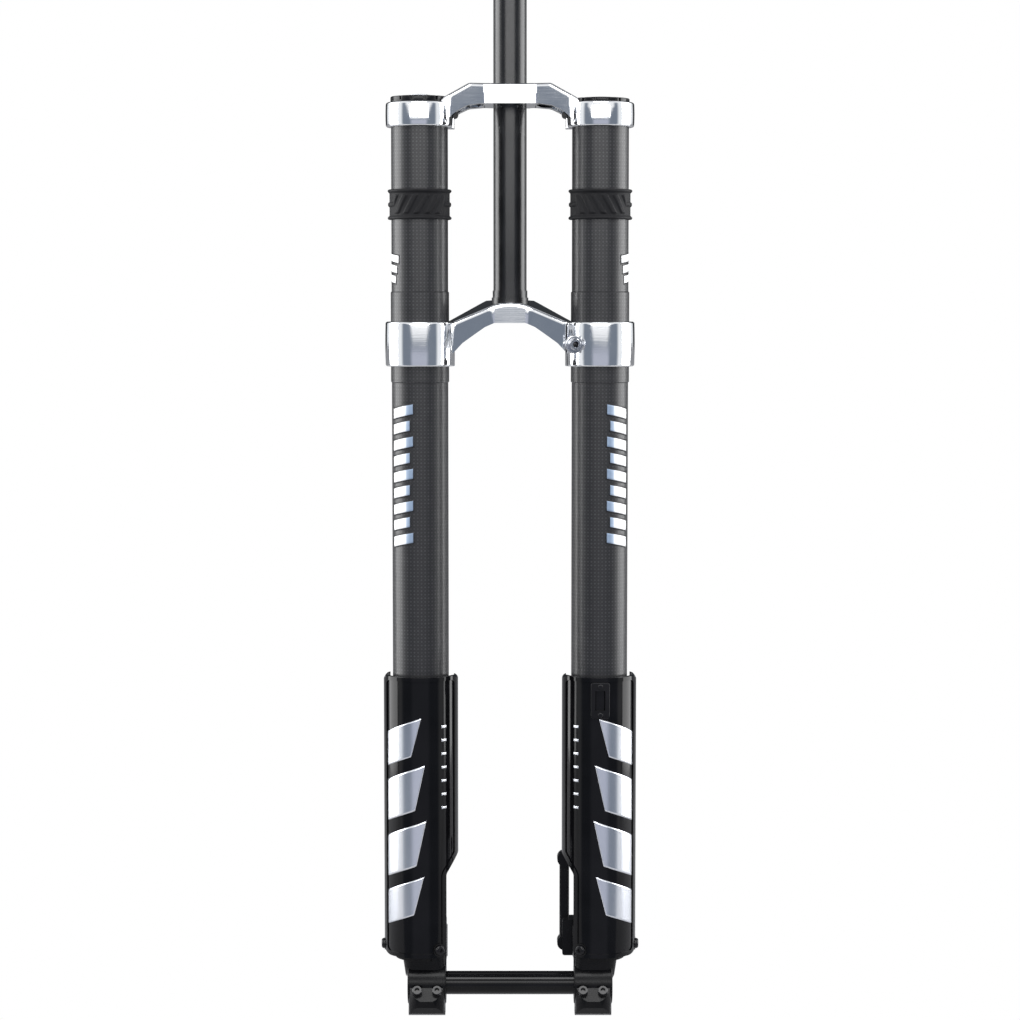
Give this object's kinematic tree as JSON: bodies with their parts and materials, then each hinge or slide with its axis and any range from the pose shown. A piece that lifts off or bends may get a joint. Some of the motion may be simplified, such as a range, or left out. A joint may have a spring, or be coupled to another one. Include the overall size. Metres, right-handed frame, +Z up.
{
  "type": "suspension fork",
  "caption": "Inverted dual-crown bicycle suspension fork with carbon outer tubes, polished crowns, sliding lower legs, guards, through axle and brake posts.",
  "frame": {"origin": "on the steering axis at the crown race seat, the lower crown's top face", "axes": "+Z up along the steerer, -Y to the front of the bicycle, +X to the rider's left"},
  "size_m": [0.2224, 0.0981, 0.8875],
  "materials": {
    "polished_aluminium": "polished",
    "steerer_black": "satin",
    "carbon_tube": "satin",
    "guard_gloss": "gloss",
    "bumper_rubber": "matte",
    "dropout_black": "satin",
    "cap_black": "satin",
    "dial_aluminium": "satin",
    "bolt_chrome": "polished",
    "bolt_black": "satin",
    "axle_gloss": "gloss",
    "stanchion_silver": "polished",
    "rod_chrome": "polished",
    "seal_rubber": "matte",
    "bushing_bronze": "satin",
    "damper_metal": "satin",
    "clip_black": "matte"
  },
  "bodies": {
    "upper_legs": {"upper_crown": "polished_aluminium", "lower_crown": "polished_aluminium", "steerer_tube": "steerer_black", "outer_tube_left": "carbon_tube", "outer_tube_right": "carbon_tube", "bumper_left": "bumper_rubber", "bumper_right": "bumper_rubber", "top_cap_left": "cap_black", "top_cap_right": "cap_black", "lower_crown_pinch_bolts": "bolt_chrome", "upper_crown_pinch_bolts": "bolt_black", "steerer_clamp_bolts": "bolt_black", "air_valve": "bolt_black", "air_rod": "rod_chrome", "damper_rod": "rod_chrome", "cap_orings": "seal_rubber", "oil_seal_left": "seal_rubber", "oil_seal_right": "seal_rubber", "wiper_seal_left": "seal_rubber", "wiper_seal_right": "seal_rubber", "topout_bumper_left": "seal_rubber", "topout_bumper_right": "seal_rubber", "bottomout_bumper_left": "seal_rubber", "bottomout_bumper_right": "seal_rubber", "upper_bushing_left": "bushing_bronze", "upper_bushing_right": "bushing_bronze", "lower_bushing_left": "bushing_bronze", "lower_bushing_right": "bushing_bronze", "air_piston": "damper_metal", "damper_piston": "damper_metal", "seal_clip_left": "damper_metal", "seal_clip_right": "damper_metal"},
    "lower_legs": {"stanchion_left": "stanchion_silver", "stanchion_right": "stanchion_silver", "dropout_left": "dropout_black", "dropout_right": "dropout_black", "guard_left": "guard_gloss", "guard_right": "guard_gloss", "guard_screws_left": "bolt_black", "guard_screws_right": "bolt_black", "axle_pinch_bolts_left": "bolt_black", "axle_pinch_bolts_right": "bolt_black", "hose_clip": "clip_black", "hose_clip_screws": "bolt_black", "air_cylinder": "damper_metal", "damper_cartridge": "damper_metal", "air_seal_head": "damper_metal", "damper_seal_head": "damper_metal", "base_valve": "damper_metal"},
    "axle_body": {"axle": "axle_gloss"},
    "axle_bolt_body": {"axle_bolt": "axle_gloss"},
    "rebound_dial": {"rebound_knob": "dial_aluminium"},
    "compression_dial": {"compression_ring": "dial_aluminium"},
    "valve_lid": {"valve_cover": "cap_black"}
  },
  "joints": [
    {"name": "fork_travel", "type": "slide", "parent": "upper_legs", "child": "lower_legs", "axis": [0, 0, 1], "range_m": [0, 0.203], "stiffness_N_per_m": 2500, "springref_m": -0.02},
    {"name": "axle_withdrawal", "type": "slide", "parent": "lower_legs", "child": "axle_body", "axis": [1, 0, 0], "range_m": [0, 0.175]},
    {"name": "axle_bolt_turn", "type": "hinge", "parent": "lower_legs", "child": "axle_bolt_body", "pos_m": [-0.088, -0.048, -0.59], "axis": [1, 0, 0], "range_deg": [0, 720]},
    {"name": "rebound_dial_turn", "type": "hinge", "parent": "upper_legs", "child": "rebound_dial", "pos_m": [-0.0765, -0.04, 0.167], "axis": [0, 0, 1], "range_deg": [0, 540]},
    {"name": "compression_dial_turn", "type": "hinge", "parent": "upper_legs", "child": "compression_dial", "pos_m": [-0.0765, -0.04, 0.167], "axis": [0, 0, 1], "range_deg": [0, 270]},
    {"name": "valve_cover_lift", "type": "slide", "parent": "upper_legs", "child": "valve_lid", "axis": [0, 0, 1], "range_m": [0, 0.015]}
  ]
}
